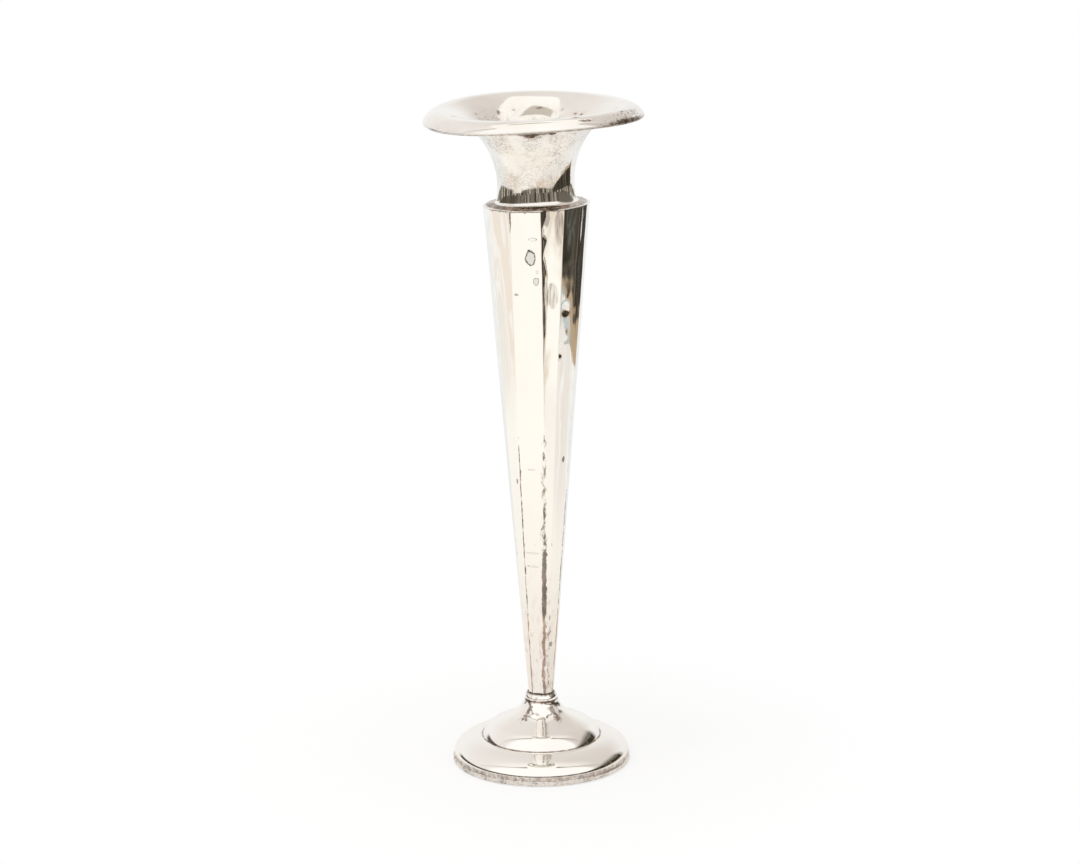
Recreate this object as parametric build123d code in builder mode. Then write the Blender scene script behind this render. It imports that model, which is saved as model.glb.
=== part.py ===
"""Silver trumpet vase on a loaded, stepped foot.

A twelve-sided tapering body carries a flat shoulder plate and a round, flared mouth.
A bead collar joins the body to a spun foot, which is filled with pitch and closed underneath.
The origin is the middle of the pad that the vase stands on, +Z is up, and sizes are in millimetres.
"""

import os
from math import asin, atan2, cos, degrees, pi, radians, sin, sqrt, tan

from build123d import *

os.makedirs("parts", exist_ok=True)

# Driving dimensions: sheet, gaps and overall height
height = 250.0  # floor to the crest of the lip, on the axis
sheet = 0.6  # silver sheet of the mouth, the body and the foot
fit = 0.1  # gap that solder or pitch fills between two pieces

# Driving dimensions: mouth
mouth_r = 40.4  # outer edge of the turned-down lip
mouth_depth = 0.88  # height of the mouth above the shoulder, as a share of mouth_r
lip_r = 6.7  # radius of the roll over the lip's crest
lip_turn = 65.0  # how far past level the lip turns down, degrees
lip_wire_d = 1.0  # stiffening wire under the lip's edge
waist_r = 14.1  # neck at its narrowest
waist_rise = 7.1  # narrowest point above the shoulder
spigot = 2.5  # how far the neck reaches down through the shoulder
mouth_lean = 1.5  # the mouth leans this far towards -X, degrees

# Driving dimensions: body
side_count = 12
shoulder_sheet = 0.7
shoulder_proud = 0.15  # how far the plate stands out over the body's sides
body_top_r = 19.6  # to a corner, under the shoulder plate
body_foot_r = 4.75  # to a corner, at the top of the collar
body_socket = 2.0  # how far the body reaches down into the foot
floor_sheet = 0.8  # disc that closes the body's lower end

# Driving dimensions: collar
collar_height = 2.7
collar_r = 6.05  # at the fullest part of the bead
collar_low_r = 5.8  # where the bead sits on the foot
collar_high_r = 5.2  # where the bead meets the body
collar_full = 0.4  # height of the fullest part, as a share of the collar's height

# Driving dimensions: foot
foot_r = 33.5  # outside of the foot wire
foot_wire_width = 1.2
foot_wire_height = 1.9
foot_wire_edge = 0.4  # rounding of the wire's outer edges
foot_wire_step = 0.4  # how far the wire stands out from the shell
ovolo_height = 7.7  # lower, rounded stage of the foot
dome_r = 22.1  # edge of the upper stage
dome_riser = 0.9
dome_edge_r = 1.2
dome_slope = 31.0  # degrees above level
cove_r = 12.2  # hollow curve from the dome up to the collar
cove_lean = 22.5  # slope of the cove under the collar, degrees from upright
foot_neck_r = 6.0  # top of the foot, under the collar

# Driving dimensions: underside
pad_thickness = 1.2
pad_proud = 0.3  # how far the pad stands below the foot wire
pad_inset = 0.3  # gap between the pad's edge and the foot wire
base_plate_thickness = 0.8

# Heights that follow from the sizes above
wire_top = pad_proud + foot_wire_height
ovolo_top = wire_top + ovolo_height
base_plate_top = pad_thickness + base_plate_thickness
slope = radians(dome_slope)
dome_line_out = dome_r - dome_edge_r * (1 - sin(slope))
cove_centre_r = foot_neck_r + cove_r * cos(radians(cove_lean))
dome_line_in = cove_centre_r - cove_r * sin(slope)
dome_line_low = ovolo_top + dome_riser + dome_edge_r * cos(slope)
dome_line_high = dome_line_low + (dome_line_out - dome_line_in) * tan(slope)
cove_centre_z = dome_line_high + cove_r * cos(slope)
foot_top = cove_centre_z - cove_r * sin(radians(cove_lean))
collar_top = foot_top + collar_height
shoulder_top = height - mouth_r * mouth_depth
body_top = shoulder_top - shoulder_sheet
body_bottom = foot_top - body_socket
body_taper = (body_top_r - body_foot_r) / (body_top - collar_top)
half_side = pi / side_count


def body_corner_r(z, inset=0.0):
    """Distance from the axis to a corner of the body at height z, inset square to its sides."""
    side_tilt = sqrt(1 + (body_taper * cos(half_side)) ** 2)
    return body_foot_r + (z - collar_top) * body_taper - inset * side_tilt / cos(half_side)


# Foot wire: the ring round the foot's lower edge
foot_wire_in = foot_r - foot_wire_width
with BuildPart() as foot_wire:
    with BuildSketch(Plane.XZ):
        with Locations((foot_wire_in, pad_proud)):
            Rectangle(foot_wire_width, foot_wire_height, align=(Align.MIN, Align.MIN))
    revolve(axis=Axis.Z)
    outer_edges = foot_wire.edges().filter_by(GeomType.CIRCLE).sort_by(SortBy.RADIUS)[-2:]
    fillet(outer_edges, foot_wire_edge)
foot_wire.part.label = "foot_wire"
export_step(foot_wire.part, "parts/foot_wire.step")

# Foot shell: one spun sheet, a rounded lower stage under a hollow-sided dome
# The rounded stage is a quarter of an oval: a tight arc and then a wide one, each through the same turn
ovolo_r = foot_r - foot_wire_step
ovolo_width = ovolo_r - dome_r
oval_turn = 45
along = sin(radians(oval_turn))
across = 1 - along
ovolo_tight_r = (along * ovolo_height - across * ovolo_width) / (along**2 - across**2)
ovolo_wide_r = (along * ovolo_width - across * ovolo_height) / (along**2 - across**2)


def foot_outline(inset):
    """Half profile of the foot, inset inside its outer surface, from the wire up to the collar."""
    tight = JernArc((ovolo_r - inset, wire_top), (0, 1), ovolo_tight_r - inset, oval_turn)
    wide = JernArc(tight @ 1, tight % 1, ovolo_wide_r - inset, oval_turn)
    ledge = Line(wide @ 1, (dome_r - inset, ovolo_top - inset)) if inset else wide
    riser = Line(ledge @ 1, (dome_r - inset, ovolo_top + dome_riser))
    edge = JernArc(riser @ 1, (0, 1), dome_edge_r - inset, 90 - dome_slope)
    run = (dome_line_out - dome_line_in) / cos(slope)
    side = Line(edge @ 1, edge @ 1 + (edge % 1) * run)
    top_angle = degrees(asin((cove_centre_z - foot_top) / (cove_r + inset)))
    cove_sweep = top_angle - (90 - dome_slope)
    cove = CenterArc((cove_centre_r, cove_centre_z), cove_r + inset, 270 - dome_slope, cove_sweep)
    return (tight @ 0, cove @ 1)


with BuildPart() as foot_shell:
    with BuildSketch(Plane.XZ):
        with BuildLine():
            outer_low, outer_high = foot_outline(0)
            inner_low, inner_high = foot_outline(sheet)
            Line(outer_low, inner_low)
            Line(outer_high, inner_high)
        make_face()
    revolve(axis=Axis.Z)
foot_shell.part.label = "foot_shell"
export_step(foot_shell.part, "parts/foot_shell.step")

# Pitch filling: the load inside the foot, from the base plate up to the end of the body
filling_r = ovolo_r - sheet - fit
filling_top = body_bottom - fit
with BuildPart() as pitch_filling:
    with BuildSketch(Plane.XZ):
        with BuildLine():
            low, high = foot_outline(sheet + fit)
            Polyline(low, (filling_r, base_plate_top), (0, base_plate_top), (0, high.Y), high)
        make_face()
    revolve(axis=Axis.Z)
    split(bisect_by=Plane.XY.offset(filling_top), keep=Keep.BOTTOM)
    with BuildSketch(Plane.XY.offset(base_plate_top)):
        Circle(foot_r)
        Circle(foot_wire_in - fit, mode=Mode.SUBTRACT)
    extrude(amount=wire_top - base_plate_top + fit, mode=Mode.SUBTRACT)
pitch_filling.part.label = "pitch_filling"
export_step(pitch_filling.part, "parts/pitch_filling.step")

# Base plate: the disc that closes the filled foot
with BuildPart() as base_plate:
    with BuildSketch(Plane.XY.offset(pad_thickness)):
        Circle(foot_wire_in - fit)
    extrude(amount=base_plate_thickness)
base_plate.part.label = "base_plate"
export_step(base_plate.part, "parts/base_plate.step")

# Baize pad: the felt disc that the vase stands on
with BuildPart() as baize_pad:
    with BuildSketch(Plane.XY):
        Circle(foot_wire_in - pad_inset)
    extrude(amount=pad_thickness)
baize_pad.part.label = "baize_pad"
export_step(baize_pad.part, "parts/baize_pad.step")

# Collar ring: the bead that covers the joint of the body and the foot
collar_bore = body_corner_r(collar_top) + fit
with BuildPart() as collar_ring:
    with BuildSketch(Plane.XZ):
        with BuildLine():
            bead_low = (collar_low_r, foot_top)
            bead_mid = (collar_r, foot_top + collar_height * collar_full)
            bead_high = (collar_high_r, collar_top)
            ThreePointArc(bead_low, bead_mid, bead_high)
            Polyline(bead_high, (collar_bore, collar_top), (collar_bore, foot_top), bead_low)
        make_face()
    revolve(axis=Axis.Z)
collar_ring.part.label = "collar_ring"
export_step(collar_ring.part, "parts/collar_ring.step")

# Panelled body: a twelve-sided tapering tube, open at both ends, with a corner towards -Y
with BuildPart() as panelled_body:
    with BuildSketch(Plane.XY.offset(body_bottom)):
        RegularPolygon(body_corner_r(body_bottom), side_count)
    with BuildSketch(Plane.XY.offset(body_top)):
        RegularPolygon(body_corner_r(body_top), side_count)
    loft(ruled=True)
    with BuildSketch(Plane.XY.offset(body_bottom)):
        RegularPolygon(body_corner_r(body_bottom, sheet), side_count)
    with BuildSketch(Plane.XY.offset(body_top)):
        RegularPolygon(body_corner_r(body_top, sheet), side_count)
    loft(ruled=True, mode=Mode.SUBTRACT)
panelled_body.part.label = "panelled_body"
export_step(panelled_body.part, "parts/panelled_body.step")

# Body floor: the disc that makes the lower end of the body watertight
floor_r = body_corner_r(body_bottom, sheet) * cos(half_side) - fit
with BuildPart() as body_floor:
    with BuildSketch(Plane.XY.offset(body_bottom)):
        Circle(floor_r)
    extrude(amount=floor_sheet)
body_floor.part.label = "body_floor"
export_step(body_floor.part, "parts/body_floor.step")

# Mouth profile: one arc from the shoulder through the waist to the flare, then the roll of the lip
under_lip_r = lip_r - sheet
crest_r = mouth_r - lip_r * sin(radians(lip_turn))
lip_centre = Vector(crest_r, height - shoulder_top - lip_r)
flare_out = crest_r - waist_r
flare_up = lip_centre.Y - waist_rise
flare_r = (flare_out**2 + flare_up**2 - under_lip_r**2) / (2 * (flare_out - under_lip_r))
flare_centre = Vector(waist_r + flare_r, waist_rise)
flare_turn = degrees(atan2(flare_up, flare_centre.X - crest_r))
neck_base_r = flare_centre.X - sqrt(flare_r**2 - waist_rise**2)
neck_bore_r = flare_centre.X - sqrt((flare_r + sheet) ** 2 - waist_rise**2)

lean = radians(mouth_lean)
mouth_plane = Plane(origin=(0, 0, shoulder_top), x_dir=(cos(lean), 0, sin(lean)), z_dir=(0, -1, 0))
mouth_axis = Axis(mouth_plane.origin, mouth_plane.y_dir)


def mouth_outline(surface_r, lip_surface_r):
    """Half profile of one surface of the mouth, from the shoulder to the edge of the lip."""
    neck_turn = degrees(asin(waist_rise / surface_r))
    flare = CenterArc(flare_centre, surface_r, 180 + neck_turn, -neck_turn - flare_turn)
    lip = CenterArc(lip_centre, lip_surface_r, 180 - flare_turn, flare_turn - 90 - lip_turn)
    return (flare @ 0, lip @ 1)


# Shoulder plate: the flat twelve-sided top of the body, with a hole for the neck
with BuildPart() as shoulder_plate:
    with BuildSketch(Plane.XY.offset(body_top)):
        RegularPolygon(body_corner_r(body_top) + shoulder_proud, side_count)
        Circle(neck_base_r + fit, mode=Mode.SUBTRACT)
    extrude(amount=shoulder_sheet)
shoulder_plate.part.label = "shoulder_plate"
export_step(shoulder_plate.part, "parts/shoulder_plate.step")

# Trumpet mouth: neck, flare and turned-down lip, spun from one sheet
with BuildPart() as trumpet_mouth:
    with BuildSketch(mouth_plane):
        with BuildLine():
            outer_base, outer_edge = mouth_outline(flare_r, under_lip_r)
            inner_base, inner_edge = mouth_outline(flare_r + sheet, lip_r)
            Line(outer_edge, inner_edge)
            Polyline(outer_base, (neck_base_r, -spigot), (neck_bore_r, -spigot), inner_base)
        make_face()
    revolve(axis=mouth_axis)
trumpet_mouth.part.label = "trumpet_mouth"
export_step(trumpet_mouth.part, "parts/trumpet_mouth.step")

# Lip wire: a round wire under the edge of the lip, which stiffens it
wire_from_centre = under_lip_r - fit / 2 - lip_wire_d / 2
wire_angle = radians(90 - lip_turn)
with BuildPart() as lip_wire:
    with BuildSketch(mouth_plane):
        with Locations(lip_centre + Vector(cos(wire_angle), sin(wire_angle)) * wire_from_centre):
            Circle(lip_wire_d / 2)
    revolve(axis=mouth_axis)
lip_wire.part.label = "lip_wire"
export_step(lip_wire.part, "parts/lip_wire.step")

print(f"flare radius {flare_r:.2f}, crest radius {crest_r:.2f}, neck base radius {neck_base_r:.2f}")
print(f"foot top {foot_top:.2f}, collar top {collar_top:.2f}, body bottom {body_bottom:.2f}")
print(f"body corner radius at its lower end {body_corner_r(body_bottom):.2f}, floor radius {floor_r:.2f}")
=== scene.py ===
# %% [markdown]
# A silver trumpet vase
#
# This lesson dresses a tall silver vase: a round flared mouth on a faceted, tapering body, above a stepped
# foot that is filled with pitch. The solids come packed from the workshop with their true sizes.
# Each piece is rebuilt here as a clean, dense mesh, because polished metal shows every flat of a coarse one.

import math
from collections import namedtuple

import bpy
from mathutils import Matrix, Vector, noise


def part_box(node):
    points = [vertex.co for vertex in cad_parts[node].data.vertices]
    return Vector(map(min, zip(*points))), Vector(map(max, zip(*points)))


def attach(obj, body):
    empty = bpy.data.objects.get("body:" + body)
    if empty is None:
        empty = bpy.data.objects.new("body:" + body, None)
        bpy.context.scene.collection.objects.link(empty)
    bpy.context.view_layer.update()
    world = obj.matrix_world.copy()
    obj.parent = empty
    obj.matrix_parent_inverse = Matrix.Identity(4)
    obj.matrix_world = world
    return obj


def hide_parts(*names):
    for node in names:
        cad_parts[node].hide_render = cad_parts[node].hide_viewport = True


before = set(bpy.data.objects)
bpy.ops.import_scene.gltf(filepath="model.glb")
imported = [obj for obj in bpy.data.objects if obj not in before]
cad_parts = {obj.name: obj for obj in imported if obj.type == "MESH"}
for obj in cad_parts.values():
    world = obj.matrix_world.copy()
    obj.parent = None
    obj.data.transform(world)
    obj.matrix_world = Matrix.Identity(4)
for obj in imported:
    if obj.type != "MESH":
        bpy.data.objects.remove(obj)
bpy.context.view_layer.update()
MM = 0.001
print("nodes:", ", ".join(sorted(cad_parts)))

# %% [markdown]
# Rings and skins
#
# Every silver piece of this vase is a closed band of metal: it can be drawn as rings of points around the
# axis, each joined to the next, with the last joined to the first. Blender's Screw modifier could spin a
# profile, but rings made in code can also be faceted, leaned, dented and marked, so one small function
# serves all of them.

# %% Helpers for rings of points
TURNS = 192


def smooth(low, high, value):
    """0 up to low and 1 from high, with an easy curve between; low may be above high."""
    share = min(max((value - low) / (high - low), 0.0), 1.0)
    return share * share * (3 - 2 * share)


def bell(value, middle, width):
    """1 at the middle, falling off smoothly over the width."""
    return math.exp(-(((value - middle) / width) ** 2))


def arc(centre, radius, start, end, count):
    """Points of a half profile on a circle, from one angle to another in degrees, counted from outwards."""
    turn = [math.radians(start + (end - start) * i / count) for i in range(count + 1)]
    return [(centre[0] + radius * math.cos(a), centre[1] + radius * math.sin(a)) for a in turn]


def around(radius, height, azimuth):
    """A point at an azimuth in degrees, counted from the front (-Y) towards the right (+X)."""
    a = math.radians(azimuth)
    return Vector((radius * math.sin(a), -radius * math.cos(a), height))


def spun(profile, place=around):
    """One ring of points for each point of a half profile."""
    return [[place(r, h, 360 * i / TURNS) for i in range(TURNS)] for r, h in profile]


def skin(name, rings, capped=False, crease=38):
    """A smooth closed mesh over rings of points; edges sharper than the crease angle stay crisp."""
    across = len(rings[0])
    joins = [(i, i + 1) for i in range(len(rings) - 1)]
    if not capped:
        joins.append((len(rings) - 1, 0))
    faces = []
    for low, high in joins:
        for j in range(across):
            k = (j + 1) % across
            faces.append((low * across + j, low * across + k, high * across + k, high * across + j))
    if capped:
        last = (len(rings) - 1) * across
        faces.append(tuple(reversed(range(across))))
        faces.append(tuple(range(last, last + across)))
    mesh = bpy.data.meshes.new(name)
    mesh.from_pydata([point for ring in rings for point in ring], [], faces)
    mesh.shade_smooth()
    mesh.set_sharp_from_angle(angle=math.radians(crease))
    piece = bpy.data.objects.new(name, mesh)
    bpy.context.scene.collection.objects.link(piece)
    print(name, len(mesh.vertices), "points,", len(mesh.polygons), "faces")
    return piece


def fit_for(piece, node):
    """The piece takes the place of one solid, which is hidden, and is attached to the root body."""
    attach(piece, "root")
    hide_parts(node)


# %% [markdown]
# The hand of the maker
#
# Spun and hammered sheet is never quite true. A slow ripple of a few hundredths of a millimetre is too small
# to see as shape, but it bends the reflections, which is how the eye tells worked silver from a computed
# surface. The ripple is real geometry, so it looks right from every side.

# %% Ripple
def ripple(point, depth, size, seed=0):
    """A smooth offset of up to about depth, whose waves are about size long."""
    return depth * noise.noise(point / size + Vector((17.3 * seed, 5.1 * seed, 9.7 * seed)))


def rippled(rings, depth, size, seed=0, tall=1.0):
    """Rings moved in or out from the axis by a ripple; tall stretches its waves upwards."""
    moved = []
    for ring in rings:
        row = []
        for p in ring:
            outward = Vector((p.x, p.y, 0)).normalized()
            row.append(p + outward * ripple(Vector((p.x, p.y, p.z / tall)), depth, size, seed))
        moved.append(row)
    return moved


# %% [markdown]
# The trumpet mouth
#
# The neck, the flare and the lip are one spun sheet. Its side is a single arc through the waist, and a
# smaller arc rolls the lip over. The lip has been knocked about in use: it leans a little to the left, and
# it is no longer quite flat. A small hollow curve at the bottom is the solder that runs round the neck.

# %% Mouth sizes
sheet = 0.6 * MM
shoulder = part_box("shoulder_plate")[1].z
mouth_low, mouth_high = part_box("trumpet_mouth")
mouth_r = (mouth_high.y - mouth_low.y) / 2
mouth_rise = 0.88 * mouth_r
spigot = 2.5 * MM
lip_r = 6.7 * MM
lip_turn = 65
waist_r = 14.1 * MM
waist_rise = 7.1 * MM
solder_r = 1.7 * MM
solder_edge = 0.35 * MM
mouth_lean = math.radians(1.5)
front_lift = 0.020
lip_warp = 0.6 * MM
lip_bow = 0.45 * MM
front_curl = 0.5 * MM

under_lip_r = lip_r - sheet
crest_r = mouth_r - lip_r * math.sin(math.radians(lip_turn))
lip_centre = (crest_r, mouth_rise - lip_r)
flare_out = crest_r - waist_r
flare_up = lip_centre[1] - waist_rise
flare_r = (flare_out**2 + flare_up**2 - under_lip_r**2) / (2 * (flare_out - under_lip_r))
flare_centre = (waist_r + flare_r, waist_rise)
flare_turn = math.degrees(math.asin(flare_up / (flare_r - under_lip_r)))
print(f"mouth radius {mouth_r / MM:.1f} mm, flare radius {flare_r / MM:.1f} mm")


def on_mouth(radius, height, azimuth):
    """A point of the mouth, bent over by its lean and warped at the lip."""
    spread = max(0.0, (radius - waist_r) / (mouth_r - waist_r))
    low = 1 - smooth(0, 2 * waist_rise, height)
    twice = math.radians(2 * azimuth)
    height += (lip_warp * math.sin(twice) + lip_bow * math.cos(twice)) * spread**2
    in_front = bell((azimuth + 180) % 360 - 180, 0, 40)
    height += front_curl * in_front * smooth(crest_r, mouth_r, radius)
    p = around(radius, height, azimuth)
    x = p.x * math.cos(mouth_lean) - p.z * math.sin(mouth_lean)
    z = p.x * math.sin(mouth_lean) + p.z * math.cos(mouth_lean) - p.y * front_lift * low
    return Vector((x, p.y, z + shoulder))


# %% Build the mouth
SOLDER_STEPS = 8
FLARE_STEPS = 60
ROLL_STEPS = 28
EDGE_STEPS = 8
CREST_STEPS = 32
solder_top = solder_edge + solder_r * (1 - math.sin(waist_rise / flare_r))
solder_lean = math.asin((waist_rise - solder_top) / flare_r)
neck_r = flare_centre[0] - flare_r * math.cos(solder_lean)
solder_centre = (neck_r + solder_r * math.cos(solder_lean), solder_top + solder_r * math.sin(solder_lean))
neck_base_r = flare_centre[0] - math.sqrt(flare_r**2 - waist_rise**2)
bore_turn = math.degrees(math.asin(waist_rise / (flare_r + sheet)))
edge_angle = 90 - lip_turn
edge_mid = arc(lip_centre, under_lip_r + sheet / 2, edge_angle, edge_angle, 1)[0]

solder_end = 180 + math.degrees(solder_lean)
flare_end = 180 - flare_turn
under_solder = solder_edge / 4

mouth_profile = [(neck_base_r, -spigot), (neck_base_r, under_solder), (solder_centre[0], under_solder)]
mouth_profile += arc(solder_centre, solder_r, 270, solder_end, SOLDER_STEPS)
mouth_profile += arc(flare_centre, flare_r, solder_end, flare_end, FLARE_STEPS)[1:]
mouth_profile += arc(lip_centre, under_lip_r, flare_end, edge_angle, ROLL_STEPS)[1:]
under_count = len(mouth_profile)
mouth_profile += arc(edge_mid, sheet / 2, edge_angle + 180, edge_angle + 360, EDGE_STEPS)[1:-1]
mouth_profile += arc(lip_centre, lip_r, edge_angle, flare_end, CREST_STEPS)
mouth_profile += arc(flare_centre, flare_r + sheet, flare_end, 180 + bore_turn, FLARE_STEPS)[1:]
mouth_profile += [(mouth_profile[-1][0], -spigot)]

mouth_rings = rippled(spun(mouth_profile, on_mouth), 0.05 * MM, 14 * MM, seed=1)
mouth = skin("mouth_spun", mouth_rings)
fit_for(mouth, "trumpet_mouth")

# %% [markdown]
# Grime and painted shade on the mouth
#
# A dark patch under the front of the lip and a dark line along the lip's edge are painted shade, and one side
# of the rolled edge is worn and spotted. How much grime and painted shade each point may hold is kept on the
# mesh as an attribute; the finish breaks it up into specks later.

# %% Mark the grime and the painted shade
def keep_grime_and_shade(piece, marks):
    """Store how much grime, and on the mouth painted shade too, each point of a piece may hold."""
    piece.data.attributes.new("grime", "FLOAT", "POINT").data.foreach_set("value", marks)


Patch = namedtuple("Patch", "azimuth radius wide deep")
# Azimuth in degrees, distance from the axis and half widths along and across the ring in millimetres
# Patches of painted shade under the front of the lip
UNDER_LIP_SHADE = [
    Patch(azimuth=-13, radius=23.7, wide=4.0, deep=0.5),
    Patch(azimuth=-3, radius=23.2, wide=2.9, deep=1.3),
    Patch(azimuth=6, radius=23.8, wide=3.4, deep=0.6),
    Patch(azimuth=17, radius=23.5, wide=1.5, deep=0.8),
]
INNER_SPECKS = [
    Patch(azimuth=-147, radius=24.0, wide=0.9, deep=0.9),
    Patch(azimuth=-122, radius=25.2, wide=1.3, deep=0.35),
    Patch(azimuth=175, radius=24.7, wide=1.9, deep=0.4),
    Patch(azimuth=-162, radius=24.6, wide=0.9, deep=0.35),
    Patch(azimuth=154, radius=24.3, wide=0.6, deep=0.5),
    Patch(azimuth=139, radius=23.3, wide=0.8, deep=0.45),
    Patch(azimuth=131, radius=23.3, wide=0.9, deep=0.5),
    Patch(azimuth=25, radius=36.0, wide=1.6, deep=0.6),
    Patch(azimuth=12, radius=34.4, wide=3.6, deep=0.45),
    Patch(azimuth=29, radius=38.6, wide=3.0, deep=0.6),
]


def patches_at(specks, azimuth, radius):
    """The strongest of some patches at a point of a ring."""
    most = 0.0
    for speck in specks:
        side = math.radians((azimuth - speck.azimuth + 180) % 360 - 180) * radius / MM
        most = max(most, bell(side, 0, speck.wide) * bell(radius / MM, speck.radius, speck.deep))
    return most


mouth_marks = []
for ring, (r, h) in enumerate(mouth_profile):
    for i in range(TURNS):
        azimuth = (360 * i / TURNS + 180) % 360 - 180
        if ring < under_count:
            # Under the lip: painted shade in front
            mark = 1.5 * patches_at(UNDER_LIP_SHADE, azimuth, r)
        else:
            mark = 1.1 * patches_at(INNER_SPECKS, azimuth, r)
            mark = max(mark, 0.54 * bell(azimuth, 64, 27) * smooth(34 * MM, 38 * MM, r))
            mark = max(mark, 0.95 * bell(azimuth, 60, 26) * smooth(39.2 * MM, 40.2 * MM, r))
        # Along the lip's edge: a line of painted shade
        if abs(ring - under_count) < 4:
            mark = max(mark, 0.8)
        mouth_marks.append(mark)
keep_grime_and_shade(mouth, mouth_marks)
print("grime marks on the mouth:", sum(m > 0.3 for m in mouth_marks))

# %% [markdown]
# The lip wire
#
# A wire soldered under the edge keeps the thin lip round. It shows as a second fine line below the lip.
# It is a ring of small circles, placed by the same function as the mouth, so it follows the bent lip.

# %% Build the lip wire
lip_wire_r = 0.5 * MM
wire_gap = 0.05 * MM
wire_mid = arc(lip_centre, under_lip_r - wire_gap - lip_wire_r, edge_angle, edge_angle, 1)[0]
wire_profile = arc(wire_mid, lip_wire_r, 0, 360 - 30, 11)
lip_wire = skin("lip_wire_round", rippled(spun(wire_profile, on_mouth), 0.05 * MM, 14 * MM, seed=1))
fit_for(lip_wire, "lip_wire")

# %% [markdown]
# The panelled body
#
# Twelve panels taper to the collar. They were folded by hand, so the corners wander: each has one azimuth at
# the top and another at the bottom, and a rounding of its own. A polygon could be lofted and bevelled, but
# then the corners could not wander, so each ring is drawn as flats and small arcs between them.

# %% Body sizes
body_low, body_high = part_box("panelled_body")
body_top_r = body_high.x
body_end_r = 4.38 * MM
collar_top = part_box("collar_ring")[1].z
FLAT_STEPS = 14
FINE_STEPS = 44
CORNER_STEPS = 6
BODY_RINGS = 300
RING_CROWDING = 0.33
INNER_RINGS = 20
Corner = namedtuple("Corner", "top low rounding bulge grime")
# Azimuths in degrees at the top and the bottom, rounding in millimetres, how far the panel on the corner's
# right bulges at the top in millimetres, and how much grime the corner holds
CORNERS = [
    Corner(top=-180, low=-180, rounding=0.6, bulge=0.03, grime=0.3),
    Corner(top=-150, low=-151, rounding=0.7, bulge=-0.04, grime=0.3),
    Corner(top=-119, low=-122, rounding=0.6, bulge=0.05, grime=0.4),
    Corner(top=-90, low=-94, rounding=0.6, bulge=0.04, grime=0.4),
    Corner(top=-60, low=-72, rounding=0.8, bulge=0.06, grime=0.4),
    Corner(top=-29.5, low=-43, rounding=0.7, bulge=0.02, grime=0.72),
    Corner(top=3.7, low=14, rounding=0.8, bulge=0.05, grime=1.0),
    Corner(top=30.7, low=27, rounding=0.9, bulge=0.16, grime=0.35),
    Corner(top=69.5, low=65, rounding=0.7, bulge=0.04, grime=1.05),
    Corner(top=95, low=92, rounding=0.6, bulge=-0.03, grime=0.5),
    Corner(top=122, low=120, rounding=0.7, bulge=0.04, grime=0.4),
    Corner(top=150, low=150, rounding=0.6, bulge=0.03, grime=0.3),
]
SEAM = 6


def folds(height, inset=0.0):
    """The corners of the body at a height, each with where its rounding starts and stops."""
    share = (height - body_low.z) / (body_high.z - body_low.z)
    radius = body_end_r + (body_top_r - body_end_r) * share - inset
    tops, rounds = [], []
    for i, corner in enumerate(CORNERS):
        wander = noise.noise(Vector((3.7 * i, 1.3, height / (9 * MM))))
        azimuth = corner.low + (corner.top - corner.low) * share + math.degrees(0.12 * MM * wander / radius)
        tops.append(around(radius, height, azimuth))
        rounds.append(corner.rounding * (0.35 + 0.65 * share) * MM)
    ends = []
    for i, corner in enumerate(tops):
        back = (tops[i - 1] - corner).normalized()
        on = (tops[(i + 1) % len(tops)] - corner).normalized()
        cut = rounds[i] * math.tan((math.pi - back.angle(on)) / 2)
        ends.append((corner + back * cut, corner, corner + on * cut))
    return ends


# %% [markdown]
# The seam and the wide panel
#
# The panel on the right of the front seam was pushed in. That leaves a steep strip along the seam, which
# mirrors the dark side of the room. The next panel is wider than the others, and bends once more, softly,
# near its far corner. Both are offsets from a flat panel, so the corners stay where they are.

# %% Seam strip, soft fold and rings
# Height, and the width of the steep strip beside the seam, in millimetres
SEAM_STRIP = [
    (154, 0.3),
    (158, 0.5),
    (164, 0.9),
    (169, 1.5),
    (174, 2.0),
    (178, 2.4),
    (183, 2.7),
    (190, 2.6),
    (194.5, 1.7),
    (197, 0.95),
    (198.5, 1.2),
    (201.5, 2.4),
    (203.3, 2.5),
    (204.8, 0.7),
    (207.3, 0.6),
    (209, 1.4),
    (211.5, 2.5),
    (214, 2.6),
]


def between(table, value):
    """The straight-line value of a table of pairs at a value."""
    if value <= table[0][0]:
        return table[0][1]
    for (low, first), (high, second) in zip(table, table[1:]):
        if value <= high:
            return first + (second - first) * (value - low) / (high - low)
    return table[-1][1]


STRIP_SLOPE = 0.62
STRIP_END_SLOPE = 1.6
GROOVE_DEPTH = 2.0 * MM
GROOVE_FADES = 132 * MM
GROOVE_FULL = 178 * MM
GROOVE_FLAT = 1.5 * MM


def seam_groove(height, across, length):
    """How deep the panel on the right of the front seam is pushed in, at a distance across it."""
    strip = between(SEAM_STRIP, height / MM) * MM
    wall = STRIP_SLOPE * min(across, strip) + STRIP_END_SLOPE * max(across - strip, 0)
    depth = GROOVE_DEPTH * smooth(GROOVE_FADES, GROOVE_FULL, height)
    return min(wall, depth * (length - across) / (length - GROOVE_FLAT))


FOLD_SLOPE = 0.0744
FOLD_BACK = 0.1745
FOLD_EASE = 0.12 * MM


def soft_fold(across, length):
    """How far the wide panel stands out, and how far along its larger flat a point is, from 0 to 1."""
    rise, fall = FOLD_SLOPE * across, FOLD_BACK * (length - across)
    ease = max(FOLD_EASE - abs(rise - fall), 0) / FOLD_EASE
    share = min(across / length * (FOLD_SLOPE + FOLD_BACK) / FOLD_BACK, 1)
    return min(rise, fall) - ease**2 * FOLD_EASE / 4, share


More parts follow.
